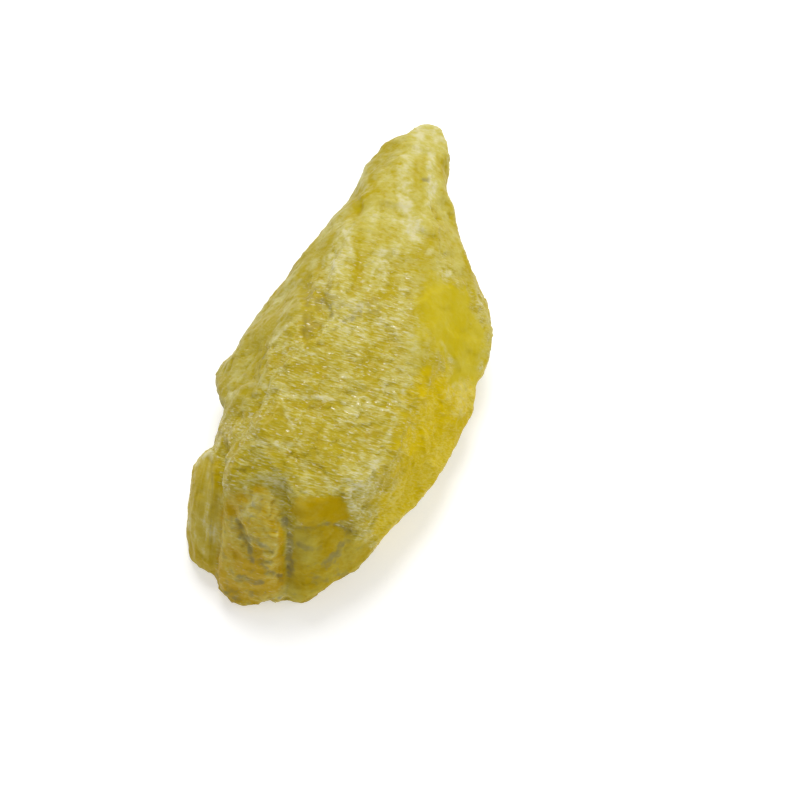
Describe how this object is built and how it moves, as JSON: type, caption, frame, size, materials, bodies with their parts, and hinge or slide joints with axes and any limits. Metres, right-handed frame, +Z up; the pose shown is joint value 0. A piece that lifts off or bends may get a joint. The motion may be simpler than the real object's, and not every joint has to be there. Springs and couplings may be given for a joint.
{
  "type": "native sulfur crystal",
  "caption": "Translucent yellow lump of native sulfur, long and wedge-shaped, with a thin pale tip, a broken striated foot and a flat resting face.",
  "frame": {"origin": "middle of the lump's box, at the flat resting face underneath", "axes": "+Z up, +Y along the lump's length towards its thin tip, +X to the right seen from the foot"},
  "size_m": [0.0422, 0.0938, 0.0287],
  "materials": {
    "sulfur": "satin to resinous broken crystal, translucent yellow, paler and frosted at the tip and darker olive at the foot"
  },
  "bodies": {
    "root": {"sulfur_crystal": "sulfur"}
  },
  "joints": []
}
